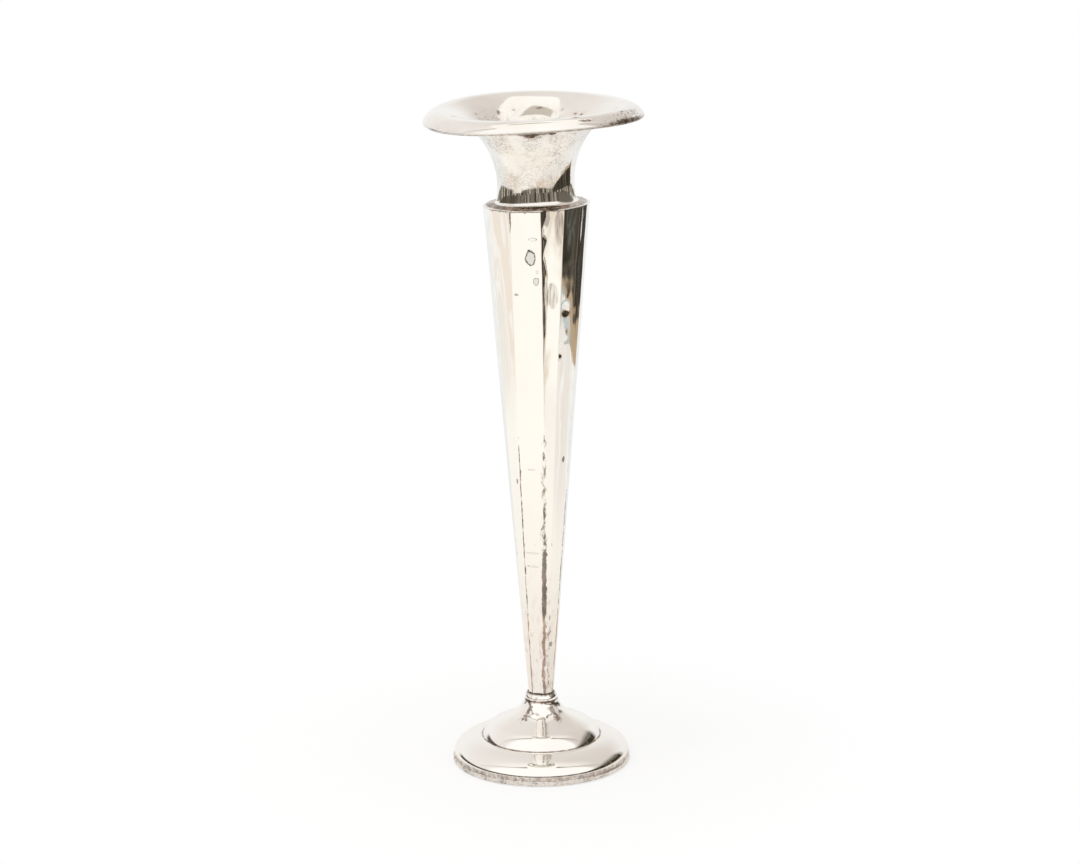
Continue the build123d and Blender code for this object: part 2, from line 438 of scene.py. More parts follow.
def panel_ring(height, inset=0.0):
    """Points round the panelled body at one height: a small arc at each corner, and a panel to the next."""
    ends = folds(height, inset)
    tall = smooth(20 * MM, 200 * MM, height)
    points = []
    for i, (start, corner, stop) in enumerate(ends):
        for step in range(CORNER_STEPS + 1):
            t = step / CORNER_STEPS
            points.append(start * (1 - t) ** 2 + corner * 2 * t * (1 - t) + stop * t * t)
        following = ends[(i + 1) % len(ends)][0]
        middle = (stop + following) / 2
        outward = Vector((middle.x, middle.y, 0)).normalized()
        steps = FINE_STEPS if i in (SEAM, SEAM + 1) else FLAT_STEPS
        for step in range(1, steps):
            t = step / steps
            swell = CORNERS[i].bulge * MM * tall * 4 * t * (1 - t)
            length = (following - stop).length
            if i == SEAM:
                swell -= seam_groove(height, t * length, length)
            elif i == SEAM + 1:
                fold, share = soft_fold(t * length, length)
                swell = fold + CORNERS[i].bulge * MM * tall * 4 * share * (1 - share)
            points.append(stop.lerp(following, t) + outward * swell)
    return points


# %% [markdown]
# Dents and grime
#
# A few knocks show right of the front corner. Each is a shallow dish or bump: a smooth bell that moves the
# sheet. They are part of the mesh, so their reflections move as they should. Brown grime sits along the
# corners, mostly low down, where a polishing cloth slips past. How much of it each point may hold is kept on
# the mesh as an attribute, and the finish breaks it up into specks later.

# %% Dents and the body's mesh
Dent = namedtuple("Dent", "azimuth height wide tall deep")
# Azimuth in degrees, the rest in millimetres: height, half width, half height, depth (a bump's is negative)
DENTS = [
    Dent(azimuth=40.5, height=180.5, wide=1.3, tall=1.6, deep=-0.03),
    Dent(azimuth=39.5, height=176.8, wide=1.5, tall=1.7, deep=0.20),
    Dent(azimuth=40.5, height=167.2, wide=1.0, tall=1.8, deep=-0.10),
    Dent(azimuth=33.5, height=160.6, wide=1.1, tall=1.3, deep=0.17),
    Dent(azimuth=37.5, height=163.5, wide=1.8, tall=1.6, deep=-0.08),
    Dent(azimuth=20.5, height=182.5, wide=2.2, tall=5.0, deep=0.08),
]


def dented(point):
    """How far the dents push a point of the body in."""
    depth = 0.0
    for dent in DENTS:
        up = (point.z / MM - dent.height) / dent.tall
        if abs(up) < 3:
            middle = around(math.hypot(point.x, point.y), point.z, dent.azimuth)
            side = (point - middle).length / (dent.wide * MM)
            depth += dent.deep * MM * math.exp(-(side**2 + up**2))
    return depth


# Height in millimetres, and how much grime the line along a corner holds there
FRONT_LINE = [
    (28, 0.75),
    (58, 0.85),
    (62, 1.3),
    (80, 1.25),
    (84, 0.72),
    (97, 0.62),
    (101, 0.56),
    (128, 0.54),
    (136, 0),
]
LEFT_LINE = [
    (28, 0.95),
    (75, 0.8),
    (88, 0.9),
    (106, 0.85),
    (124, 0.72),
    (132, 0),
    (205, 0),
    (208, 0.9),
    (214, 1.2),
]


def grime_at(point, ends):
    """How much grime a point of the body may hold, from 0 to 1."""
    up = point.z / MM
    azimuth = math.degrees(math.atan2(point.x, -point.y))
    most = max(0.45 * smooth(213.0, 213.5, up), 0.52 * smooth(72, 52, up) * bell(azimuth, 28, 13))
    for i, (corner, (_, tip, _)) in enumerate(zip(CORNERS, ends)):
        gap = (point - tip).length
        if gap > 3 * MM:
            continue
        if i == SEAM:
            near = bell(gap, 0, (1.3 if up > 82 else 1.0) * MM) * between(FRONT_LINE, up)
        elif i == SEAM - 1:
            near = bell(gap, 0, 0.30 * MM) * between(LEFT_LINE, up)
        else:
            patch = 0.75 + 0.5 * noise.noise(Vector((5.1 * i, 3.3, up / 14)))
            near = bell(gap, 0, 0.5 * MM) * corner.grime * patch * (1.0 - 0.65 * smooth(96, 134, up))
        most = max(most, near)
    return most


def settled(point):
    """A point near the top of the body, lifted because the top is not quite level."""
    share = smooth(195 * MM, body_high.z, point.z)
    return point + Vector((0, 0, share * (point.x * math.sin(mouth_lean) - point.y * front_lift)))


body_rings = []
grime_marks = []
for i in range(BODY_RINGS + 1):
    step = i / BODY_RINGS
    share = step * (1 + RING_CROWDING - RING_CROWDING * step)
    z = body_low.z + (body_high.z - body_low.z) * share
    ends = folds(z)
    worked = []
    for p in panel_ring(z):
        outward = Vector((p.x, p.y, 0)).normalized()
        wave = ripple(Vector((p.x, p.y, p.z / 3)), 0.10 * MM, 7 * MM, 3)
        wave += ripple(Vector((p.x, p.y, p.z / 2)), 0.03 * MM, 2.6 * MM, 4)
        wave += ripple(Vector((p.x, p.y, p.z / 12)), 0.10 * MM, 4 * MM, 11)
        worked.append(settled(p + outward * (wave * (0.25 + 0.75 * share) - dented(p))))
        grime_marks.append(grime_at(p, ends))
    body_rings.append(worked)
for i in range(INNER_RINGS, -1, -1):
    z = body_low.z + (body_high.z - body_low.z) * i / INNER_RINGS
    inner = panel_ring(z, sheet * (1.06 + 0.6 * smooth(30 * MM, 80 * MM, z)))
    body_rings.append([settled(p) for p in inner])
    grime_marks += [0.0] * len(body_rings[-1])
body = skin("body_panelled", body_rings, crease=60)
keep_grime_and_shade(body, grime_marks)
fit_for(body, "panelled_body")

# %% [markdown]
# The shoulder plate
#
# A plate closes the top of the body and carries the neck. Its outline is the body's own top ring, a hair
# larger, with a rounded upper edge that catches a thin line of light, and it slopes up a little to the neck.

# %% Build the shoulder plate
plate_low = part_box("shoulder_plate")[0].z
plate_round = 0.3 * MM
hole_r = neck_base_r + 0.1 * MM


def plate_ring(height, inset):
    """The body's top outline at a height, drawn in by an inset."""
    return [Vector((p.x, p.y, height)) for p in panel_ring(body_high.z, inset - 0.15 * MM)]


def hole_ring(height, outer, radius):
    """Points round the neck's hole, one for each point of the outline."""
    return [Vector((p.x, p.y, 0)).normalized() * radius + Vector((0, 0, height)) for p in outer]


plate_rise = 0.8 * MM
plate_edge = shoulder - 0.2 * MM
outline = plate_ring(plate_low, 0)
plate_rings = [hole_ring(plate_low, outline, hole_r), outline]
for lift, step_in in [(p[1], plate_round - p[0]) for p in arc((0, 0), plate_round, 0, 75, 5)]:
    plate_rings.append(plate_ring(plate_edge - plate_round + lift, step_in))
plate_rings.append(hole_ring(plate_edge + plate_rise, outline, hole_r))
plate_rings = [[settled(p) for p in ring] for ring in plate_rings]
plate = skin("shoulder_flat", rippled(plate_rings, 0.04 * MM, 5 * MM, seed=5))
fit_for(plate, "shoulder_plate")

# %% [markdown]
# The collar
#
# A small bead hides the joint between the body and the foot. It is fuller near the bottom.

# %% Build the collar
collar_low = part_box("collar_ring")[0].z
collar_rise = collar_top - collar_low
collar_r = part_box("collar_ring")[1].x
collar_low_r = 5.8 * MM
collar_high_r = 5.2 * MM
collar_bore = 4.85 * MM
bead_out = 0.9 * (collar_r - (collar_low_r + collar_high_r) / 2)
BEAD_STEPS = 16
bead = []
for i in range(BEAD_STEPS + 1):
    t = i / BEAD_STEPS
    swell = math.sin(math.pi * t**0.8)
    edge = collar_low_r + (collar_high_r - collar_low_r) * t
    bead.append((edge + bead_out * swell, collar_low + collar_rise * t))
collar_profile = bead + [(collar_bore, collar_top), (collar_bore, collar_low)]
collar = skin("collar_bead", rippled(spun(collar_profile), 0.06 * MM, 2.2 * MM, seed=6))
fit_for(collar, "collar_ring")

# %% [markdown]
# The foot
#
# The foot is one spun sheet: a rounded lower stage, a small step, and a dome whose side turns up in a hollow
# curve to the collar. The profile is drawn twice, once for the outside and once a sheet's thickness inside.

# %% Foot sizes and profile
foot_low, foot_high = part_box("foot_shell")
ovolo_r = foot_high.x
dome_r = 22.2 * MM
ovolo_rise = 7.6 * MM
dome_round = 8.9 * MM
dome_start = 18
dome_end = 65.2
cove_r = 12.2 * MM
cove_lean = math.radians(22.5)
foot_neck_r = 6.0 * MM
ovolo_top = foot_low.z + ovolo_rise
ovolo_start = -8
ovolo_split = 52
start_sin = math.sin(math.radians(ovolo_start))
split_sin = math.sin(math.radians(ovolo_split))
split_cos = math.cos(math.radians(ovolo_split))
wide_share = (1 - split_sin) / split_cos
tight_share = split_sin - start_sin - wide_share * (1 - split_cos)
tight_r = (ovolo_rise - wide_share * (ovolo_r - dome_r)) / tight_share
wide_r = (ovolo_r - dome_r - tight_r * (1 - split_cos)) / split_cos
ovolo_mid = (ovolo_r - tight_r, foot_low.z - tight_r * start_sin)
dome_turn = math.radians(dome_start)
dome_centre = (dome_r - dome_round * math.cos(dome_turn), ovolo_top - dome_round * math.sin(dome_turn))
cove_centre = (foot_neck_r + cove_r * math.cos(cove_lean), foot_high.z + cove_r * math.sin(cove_lean))


def foot_outline(inset):
    """Half profile of the foot from its lower edge to the collar, inset from the outside."""
    cove_end = 180 + math.degrees(math.asin((cove_centre[1] - foot_high.z) / (cove_r + inset)))
    points = arc(ovolo_mid, tight_r - inset, ovolo_start, ovolo_split, 28)
    points += arc((dome_r, ovolo_top - wide_r), wide_r - inset, ovolo_split, 90, 24)[1:]
    points += arc(dome_centre, dome_round - inset, dome_start, dome_end, 28)
    points += arc(cove_centre, cove_r + inset, 180 + dome_end, cove_end, 28)
    return points


# %% Build the foot
print(f"foot: tight {tight_r / MM:.2f} mm, wide {wide_r / MM:.2f} mm")
inside = foot_outline(sheet)
inside.reverse()
foot_rings = []
for ring in spun(foot_outline(0) + inside):
    lumps = smooth(17.5 * MM, 21 * MM, ring[0].z)
    waves = rippled([ring], 0.03 * MM, 11 * MM, seed=7)
    foot_rings += rippled(waves, 0.45 * lumps * MM, 2.6 * MM, seed=10)
foot = skin("foot_spun", foot_rings)
foot_marks = []
for ring in foot_rings:
    for p in ring:
        azimuth = abs(math.degrees(math.atan2(p.x, -p.y)))
        up = p.z / MM
        solder = 0.75 * smooth(16.5, 18.5, up) * bell(azimuth, 36, 13)
        foot_marks.append(max(solder, 0.9 * smooth(23.0, 23.7, up)))
keep_grime_and_shade(foot, foot_marks)
fit_for(foot, "foot_shell")

# %% [markdown]
# The foot wire
#
# A flat band round the lower edge takes the wear. Its outer corners are rounded over.

# %% Build the foot wire
band_low, band_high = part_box("foot_wire")
band_r = band_high.x
band_in = band_r - 1.2 * MM
band_round = 0.45 * MM
band_profile = [(band_in, band_low.z)]
band_profile += arc((band_r - band_round, band_low.z + band_round), band_round, -90, 0, 7)
band_profile += arc((band_r - band_round, band_high.z - band_round), band_round, 0, 90, 7)
band_profile += [(band_in, band_high.z)]
band = skin("foot_band", rippled(spun(band_profile), 0.05 * MM, 9 * MM, seed=8))
fit_for(band, "foot_wire")

# %% [markdown]
# The baize pad
#
# Under the foot a felt disc keeps the silver off the table. It is cut by hand, so its edge is a little
# uneven, and its rim is soft.

# %% Build the pad
pad_low, pad_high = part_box("baize_pad")
pad_r = pad_high.x
pad_round = 0.4 * MM
pad_profile = [(pad_r * share, pad_low.z) for share in (0.004, 0.25, 0.5, 0.75, 0.9)]
pad_profile += arc((pad_r - pad_round, pad_low.z + pad_round), pad_round, -90, 0, 5)
pad_profile += [(pad_r, pad_high.z), (pad_r * 0.5, pad_high.z), (pad_r * 0.004, pad_high.z)]


def on_pad(radius, height, azimuth):
    """A point of the pad, with an edge that was cut by eye."""
    p = around(radius, height, azimuth)
    trim = smooth(0.9 * pad_r, pad_r, radius) * abs(ripple(p, 0.25 * MM, 8 * MM, 9))
    return around(radius - trim, height, azimuth)


pad = skin("pad_felt", spun(pad_profile, on_pad), capped=True)
fit_for(pad, "baize_pad")

# %% [markdown]
# Shader maths as Python
#
# A finish is a formula: how much tarnish, how rough, how deep a scratch. Wiring Math nodes by hand hides the
# formula, so one small class wraps a socket and lets Python's operators add the nodes.

# %% The socket class
class Value:
    """A socket whose arithmetic adds Math nodes to its tree."""

    def __init__(self, shop, socket):
        self.shop = shop
        self.socket = socket

    def maths(self, operation, *terms):
        return self.shop.node("ShaderNodeMath", {"operation": operation}, dict(enumerate(terms)))

    def __add__(self, other):
        return self.maths("ADD", self, other)

    def __sub__(self, other):
        return self.maths("SUBTRACT", self, other)

    def __mul__(self, other):
        return self.maths("MULTIPLY", self, other)

    def __truediv__(self, other):
        return self.maths("DIVIDE", self, other)

    def __pow__(self, other):
        return self.maths("POWER", self, other)

    def __radd__(self, other):
        return self.maths("ADD", other, self)

    def __rsub__(self, other):
        return self.maths("SUBTRACT", other, self)

    def __rmul__(self, other):
        return self.maths("MULTIPLY", other, self)

    def __abs__(self):
        return self.maths("ABSOLUTE", self)

    def rising(self, low, high):
        """0 up to low and 1 from high, with an easy curve between; low may be above high."""
        settings = {"interpolation_type": "SMOOTHSTEP"}
        sockets = {"Value": self, "From Min": low, "From Max": high}
        return self.shop.node("ShaderNodeMapRange", settings, sockets)


class Shop:
    """A node tree with one method that adds any node."""

    def __init__(self, tree):
        self.tree = tree
        tree.nodes.clear()

    def node(self, kind, settings=None, sockets=None, output=0):
        made = self.tree.nodes.new(kind)
        for name, setting in (settings or {}).items():
            setattr(made, name, setting)
        for name, value in (sockets or {}).items():
            if isinstance(value, Value):
                self.tree.links.new(value.socket, made.inputs[name])
            else:
                made.inputs[name].default_value = value
        return Value(self, made.outputs[output]) if made.outputs else made

    def blend(self, share, colour, other):
        """A colour mixed towards another one by a share."""
        return self.node("ShaderNodeMix", {"data_type": "RGBA"}, {0: share, 6: colour, 7: other}, 2)

    def place(self, stretch=(1, 1, 1)):
        """The point on the piece in metres, with each axis stretched."""
        point = self.node("ShaderNodeTexCoord", output=3)
        return self.node("ShaderNodeVectorMath", {"operation": "MULTIPLY"}, {0: point, 1: stretch})

    def grain(self, size, stretch=(1, 1, 1), detail=3.0, rough=0.55):
        """Soft noise from 0 to 1 whose features are about size metres across."""
        sockets = {"Vector": self.place(stretch), "Scale": 1 / size, "Detail": detail, "Roughness": rough}
        return self.node("ShaderNodeTexNoise", sockets=sockets)

    def stripes(self, along, detail):
        """Noise from 0 to 1 along one value."""
        sockets = {"W": along, "Scale": 1.0, "Detail": detail}
        return self.node("ShaderNodeTexNoise", {"noise_dimensions": "1D"}, sockets)

    def axis(self, which):
        """One coordinate of the point on the piece, in metres."""
        return self.node("ShaderNodeSeparateXYZ", sockets={0: self.place()}, output=which)

    def surface(self, **sockets):
        """Ends a material with a Principled shader."""
        named = {name.replace("_", " "): value for name, value in sockets.items()}
        shader = self.node("ShaderNodeBsdfPrincipled", sockets=named)
        self.node("ShaderNodeOutputMaterial", sockets={"Surface": shader})

    def bump(self, height, distance, under=None):
        """A surface normal tilted by a height, as deep as distance in metres, on top of another bump."""
        sockets = {"Height": height, "Distance": distance}
        if under:
            sockets["Normal"] = under
        return self.node("ShaderNodeBump", sockets=sockets)


def material(name):
    """A new material and the shop for its nodes."""
    made = bpy.data.materials.new(name)
    made.use_nodes = True
    return made, Shop(made.node_tree)


def paint(piece, finish):
    """The piece wears one finish."""
    piece.data.materials.clear()
    piece.data.materials.append(finish)


# %% [markdown]
# Polished silver
#
# Silver is almost white and a little warm. Old silver carries a thin film that is pinkish in places, brown
# where polish never reaches, fine scratches from years of rubbing, and tiny pits. A plain mirror would look
# like chrome, so each of these is a mask that changes the colour, the roughness or the surface.

# %% The silver finish
SILVER = (0.965, 0.945, 0.905, 1)
FILM = (0.84, 0.77, 0.72, 1)
TARNISH_AND_SHADE = (0.15, 0.11, 0.085, 1)
PINK_TARNISH_AND_SHADE = (0.50, 0.37, 0.31, 1)
ROSE = (0.56, 0.41, 0.34, 1)
SLATE = (0.125, 0.11, 0.11, 1)
DIRT = (0.085, 0.075, 0.06, 1)


def silver(name, tarnish_and_shade=None, scuffs=0.5, haze=0.3, marks=None, dirt=None):
    """Polished silver; tarnish (with painted shade on some pieces) and dirt give masks and marks a height,
    the rest are amounts.
    """
    made, shop = material(name)
    film = shop.grain(22 * MM, (1, 1, 0.5)).rising(0.42, 0.75) * haze
    colour = shop.blend(film, SILVER, FILM)
    rough = 0.04 + 0.05 * shop.grain(9 * MM).rising(0.4, 0.7)
    if tarnish_and_shade:
        # On the mouth, the shoulder and the foot this mask is partly painted shade, and on the seam's panel
        # partly painted reflection; they take the tarnish colours below
        mask = tarnish_and_shade(shop)
        stain = shop.blend(shop.grain(2.2 * MM, (1, 1, 0.4)).rising(0.4, 0.65), TARNISH_AND_SHADE, PINK_TARNISH_AND_SHADE)
        height = shop.axis(2)
        rosy = height.rising(64 * MM, 54 * MM) * height.rising(25 * MM, 29 * MM)
        slaty = height.rising(58 * MM, 64 * MM) * height.rising(104 * MM, 94 * MM)
        stain = shop.blend(rosy * 0.5, stain, ROSE)
        stain = shop.blend(slaty * 0.6, stain, SLATE)
        colour = shop.blend(mask, colour, stain)
        rough = rough + 0.25 * mask
    if dirt:
        colour = shop.blend(dirt(shop), colour, DIRT)
    scratch = shop.grain(0.9 * MM, (1, 1, 0.12), 2.0).rising(0.55, 0.75)
    cross = shop.grain(0.8 * MM, (0.15, 0.15, 1), 2.0).rising(0.58, 0.78)
    worn = shop.grain(12 * MM).rising(0.4, 0.65)
    normal = shop.bump((scratch + cross) * worn * scuffs, 0.004 * MM)
    if marks:
        normal = shop.bump(marks(shop), 0.1 * MM, under=normal)
    shop.surface(Base_Color=colour, Metallic=1.0, Roughness=rough, Normal=normal)
    print("finish", name)
    return made


# %% [markdown]
# Small marks on the body
#
# Some marks are too small and too sharp for the mesh: a lifted patch near the seam, a few nicks, and three
# places on the seam's panel with upright grey streaks, a painted reflection. Each is an oval on one side of
# the body. A nick has a crisp rim that holds dirt and feeds a bump; the streaks feed no bump, but roughen the
# silver and paint a grey reflection.

# %% Marks as ovals
Mark = namedtuple("Mark", "azimuth height wide tall rise fill")
# Azimuth in degrees, height and half sizes in millimetres, how strongly its rim shows, how dark it is inside
MARKS = [
    Mark(azimuth=-7.9, height=197, wide=1.8, tall=2.7, rise=1.0, fill=0.24),
    Mark(azimuth=-4.6, height=204.1, wide=1.4, tall=0.6, rise=0.7, fill=0.05),
    Mark(azimuth=-1.3, height=188.3, wide=1.0, tall=1.4, rise=0.7, fill=0.22),
    Mark(azimuth=0.6, height=191.9, wide=0.5, tall=0.7, rise=0.6, fill=0.1),
    Mark(azimuth=-26.8, height=183.1, wide=0.7, tall=0.4, rise=0.9, fill=0.5),
    Mark(azimuth=-17, height=83.2, wide=2.1, tall=0.35, rise=0.5, fill=0.1),
    Mark(azimuth=-17, height=78, wide=2.1, tall=0.35, rise=0.6, fill=0.1),
    Mark(azimuth=-15, height=116.1, wide=1.2, tall=0.3, rise=0.5, fill=0.1),
    Mark(azimuth=50, height=119.2, wide=0.6, tall=1.2, rise=1.0, fill=0.75),
    Mark(azimuth=38.5, height=46.7, wide=0.9, tall=0.9, rise=0.8, fill=0.6),
    Mark(azimuth=-46, height=111.0, wide=0.4, tall=0.9, rise=0.8, fill=0.7),
]
# Painted reflection: ovals of upright grey streaks on the seam's panel, which also make it rougher
FILM_AND_REFLECTION_STREAKS = [
    Mark(azimuth=26, height=208.5, wide=1.6, tall=7.5, rise=0.60, fill=0),
    Mark(azimuth=20.5, height=182.6, wide=2.1, tall=5.2, rise=0.55, fill=0),
    Mark(azimuth=12, height=212, wide=1.3, tall=4.0, rise=0.50, fill=0),
]


def reach(shop, mark, wobble):
    """How far a point is from a mark's middle, where 1 is its rim, and far away behind the body."""
    side, front, up = shop.axis(0), shop.axis(1), shop.axis(2)
    turn = math.radians(mark.azimuth)
    along = (side * math.cos(turn) + front * math.sin(turn)) / (mark.wide * MM)
    rise = (up - mark.height * MM) / (mark.tall * MM)
    behind = (side * math.sin(turn) - front * math.cos(turn)).rising(1 * MM, 0)
    return (along * along + rise * rise) ** 0.5 + wobble + behind * 9


def nicks(shop):
    """The height of all marks, from 0 to about 1."""
    wobble = shop.grain(1.5 * MM, detail=2.0) * 0.9 - 0.45
    total = 0
    for mark in MARKS:
        total = total + reach(shop, mark, wobble).rising(1.12, 0.88) * mark.rise
    return total


def rims(shop):
    """Dirt in the rims of the marks, and a grey film inside them."""
    wobble = shop.grain(1.5 * MM, detail=2.0) * 0.9 - 0.45
    broken = shop.grain(1.3 * MM, detail=3.0).rising(0.36, 0.52)
    total = 0
    for mark in MARKS:
        gap = reach(shop, mark, wobble)
        line = abs(gap - 1.0).rising(0.20, 0.05) * broken
        total = total + line * 0.85 * mark.rise + gap.rising(1.0, 0.8) * mark.fill
    return total


def film_and_reflection_streaks(shop):
    """Upright grey streaks of painted reflection on the seam's panel."""
    wobble = shop.grain(2.5 * MM, detail=2.0) * 0.5 - 0.25
    streaks = shop.grain(0.9 * MM, (1, 1, 0.05), 2.0).rising(0.36, 0.60)
    total = 0
    for mark in FILM_AND_REFLECTION_STREAKS:
        total = total + reach(shop, mark, wobble).rising(1.05, 0.80) * mark.rise
    return total * (0.25 + 0.75 * streaks)


# %% [markdown]
# Where the silver is dirty, and where shade is painted
#
# Each piece has its own places for dirt: the body's corners, the lip and the neck, the joints, and the band
# that stands on the table. Some masks paint shade as well: under the front of the lip and along its edge, in
# a ring on the shoulder round the neck, and in the step and lowest part of the foot. A mask adds the amount
# kept on the mesh to a fine noise, and only what rises above a level shows, so the edge of a stain is made of
# specks.

# %% Masks of dirt and painted shade
def held_grime_and_shade(shop):
    """How much grime, and on the mouth painted shade, the mesh may hold here."""
    return shop.node("ShaderNodeAttribute", {"attribute_name": "grime"}, output=2)


def corner_grime_and_reflection(shop):
    """Brown specks along the body's corners, grey streaks of painted reflection, and a mottle near the lower
    end.
    """
    specks = shop.grain(1.1 * MM, (1, 1, 0.35), 4.0, 0.65)
    lines = (specks + held_grime_and_shade(shop) * 0.50).rising(0.70, 0.88)
    low = shop.axis(2).rising(85 * MM, 25 * MM)
    mottle = shop.grain(1.6 * MM, (1, 1, 0.45), 5.0).rising(0.48, 0.70)
    spot = shop.grain(2.4 * MM, detail=1.0).rising(0.80, 0.84)
    right = shop.axis(0).rising(0.5 * MM, 4 * MM)
    lower = low * (0.13 + 0.14 * right + mottle * 0.36)
    return lines * 0.9 + lower + spot * 0.6 + film_and_reflection_streaks(shop)


def mouth_grime_and_shade(shop):
    """Specks where the mesh holds grime and painted shade, and a net of fine scratches filled with polish on
    the neck.
    """
    specks = shop.grain(1.2 * MM, (1, 1, 2.0), 5.0, 0.7)
    # The amount kept on the mesh is painted shade under the front of the lip and along its edge
    spots = (specks + held_grime_and_shade(shop) * 0.42).rising(0.70, 0.82)
    veins = abs(shop.grain(2.4 * MM, (1, 1, 1.7), 4.0, 0.65) - 0.5).rising(0.040, 0.0)
    worn = shop.grain(9 * MM, (1, 1, 1.2)).rising(0.34, 0.60)
    neck = shop.axis(2).rising(248 * MM, 240 * MM) * shop.axis(2).rising(217 * MM, 222 * MM)
    high = shop.axis(2).rising(226 * MM, 236 * MM)
    pits = shop.grain(1.7 * MM, detail=2.0).rising(0.77, 0.81) * 0.6
    net = (veins * (0.36 + 0.26 * high) + 0.07) * worn * neck
    return spots * 0.8 + held_grime_and_shade(shop) * 0.25 + net + pits


def low_tarnish(shop):
    """A brownish, dirty band round the lower edge of the foot."""
    coarse = shop.grain(7 * MM, detail=2.0).rising(0.35, 0.65)
    fine = shop.grain(1.2 * MM, (1, 1, 1.3), 5.0, 0.7).rising(0.44, 0.66)
    return 0.16 + 0.18 * coarse + (0.25 + 0.35 * coarse) * fine


def joint_tarnish(shop):
    """Brown left by the polishing cloth in the corners of a joint."""
    return shop.grain(1.4 * MM, detail=4.0).rising(0.46, 0.64) * 0.5


def shoulder_shade_and_tarnish(shop):
    """A dark brown ring of painted shade on the shoulder round the neck, darkest in front and on the left,
    with tarnish in the joint.
    """
    side = shop.axis(0)
    front = 0 - shop.axis(1)
    out = (side * side + front * front) ** 0.5
    turn = side.maths("ARCTAN2", side, front) * (180 / math.pi)
    # Painted shade, strongest in front and on the left
    dark = 0.68 + 0.29 * turn.rising(50, 36) * turn.rising(-95, -75)
    broken = shop.grain(1.5 * MM, detail=3.0).rising(0.25, 0.50)
    return out.rising(19.1 * MM, 18.3 * MM) * dark * (0.7 + 0.3 * broken) + joint_tarnish(shop) * 0.5


def wire_tarnish(shop):
    """A wire that polish never reaches, blackest on the right."""
    right = shop.axis(0).rising(10 * MM, 30 * MM)
    return 0.42 + 0.28 * shop.grain(2.5 * MM, detail=4.0).rising(0.35, 0.6) + 0.28 * right


def collar_tarnish(shop):
    """Dark lines above and below the bead."""
    height = shop.axis(2)
    lower = abs(height - collar_low).rising(0.6 * MM, 0.1 * MM)
    upper = abs(height - collar_top).rising(0.5 * MM, 0.1 * MM)
    return (lower + upper) * 0.75 + joint_tarnish(shop)


def foot_shade_and_grime(shop):
    """Painted shade as a dark line in the step of the foot and above the band, and grime specks on the dome.
    """
    height = shop.axis(2)
    side = shop.axis(0)
    front = shop.axis(1)
    out = (side * side + front * front) ** 0.5
    # Painted shade: a line in the step of the foot, and the lowest part of the foot darker above the band
    step = abs(height - ovolo_top).rising(0.45 * MM, 0.12 * MM) * abs(out - dome_r).rising(0.7 * MM, 0.3 * MM)
    edge = height.rising(4.3 * MM, 3.0 * MM)
    held = (shop.grain(1.0 * MM, detail=4.0, rough=0.65) + held_grime_and_shade(shop) * 0.5).rising(0.72, 0.86)
    broken = shop.grain(1.6 * MM, detail=3.0).rising(0.34, 0.55)
    specks = shop.grain(1.1 * MM, detail=2.0).rising(0.74, 0.80)
    return step * (0.35 + 0.5 * broken) + edge * (0.34 + 0.40 * broken) + specks * 0.35 + held * 0.85


def dull_silver(name):
    """The inside of the body, which is never polished: grey, rough and stained."""
    made, shop = material(name)
    stain = shop.grain(6 * MM, (1, 1, 0.3), 4.0).rising(0.40, 0.68)
    colour = shop.blend(stain * 0.7, (0.70, 0.67, 0.62, 1), (0.38, 0.32, 0.27, 1))
    shop.surface(Base_Color=colour, Metallic=1.0, Roughness=0.45 + 0.15 * stain)
    print("finish", name)
    return made


def line_inside(piece, first, finish):
    """The faces of a piece from a number on wear a second finish."""
    piece.data.materials.append(finish)
    for face in piece.data.polygons[first:]:
        face.material_index = 1


# %% Wear the silver
paint(body, silver("silver_body", corner_grime_and_reflection, 0.25, 0.15, nicks, rims))
line_inside(body, BODY_RINGS * len(body_rings[0]), dull_silver("silver_inside"))
paint(mouth, silver("silver_mouth", mouth_grime_and_shade, 2.0, 0.6))
paint(foot, silver("silver_foot", foot_shade_and_grime, 0.4, 0.3))
paint(lip_wire, silver("silver_lip", wire_tarnish, 0.4))
paint(plate, silver("silver_shoulder", shoulder_shade_and_tarnish, 0.4))
paint(collar, silver("silver_collar", collar_tarnish, 0.4))
paint(band, silver("silver_band", low_tarnish, 0.8))

# %% [markdown]
# Inside and underneath
#
# The load, the plate that closes it and the disc in the body's lower end keep their solids, since almost
# nothing of them shows. They still get finishes, for anyone who takes the vase apart.

# %% Baize, pitch and tinned plate
def felt(name):
    """Felted wool: matted fibres, with a soft sheen."""
    made, shop = material(name)
    mat = shop.grain(0.8 * MM, detail=6.0, rough=0.7)
    colour = shop.blend(mat.rising(0.3, 0.7), (0.012, 0.045, 0.022, 1), (0.03, 0.10, 0.05, 1))
    colour = shop.blend(shop.grain(14 * MM).rising(0.45, 0.7) * 0.5, colour, (0.05, 0.085, 0.05, 1))
    normal = shop.bump(mat, 0.15 * MM)
    shop.surface(Base_Color=colour, Roughness=0.95, Sheen_Weight=0.4, Normal=normal)
    return made


def set_pitch(name):
    """Pitch that was poured hot: dark brown, with flow marks."""
    made, shop = material(name)
    flow = shop.grain(6 * MM, detail=4.0)
    colour = shop.blend(flow, (0.02, 0.012, 0.008, 1), (0.07, 0.045, 0.03, 1))
    shop.surface(Base_Color=colour, Roughness=0.35 + 0.3 * flow, Normal=shop.bump(flow, 0.3 * MM))
    return made


def tinned(name):
    """Tinned plate: grey, with a spangle of soft patches."""
    made, shop = material(name)
    spangle = shop.grain(4 * MM, detail=2.0).rising(0.4, 0.6)
    colour = shop.blend(spangle, (0.52, 0.52, 0.51, 1), (0.66, 0.66, 0.65, 1))
    shop.surface(Base_Color=colour, Metallic=1.0, Roughness=0.3 + 0.15 * spangle)
    return made


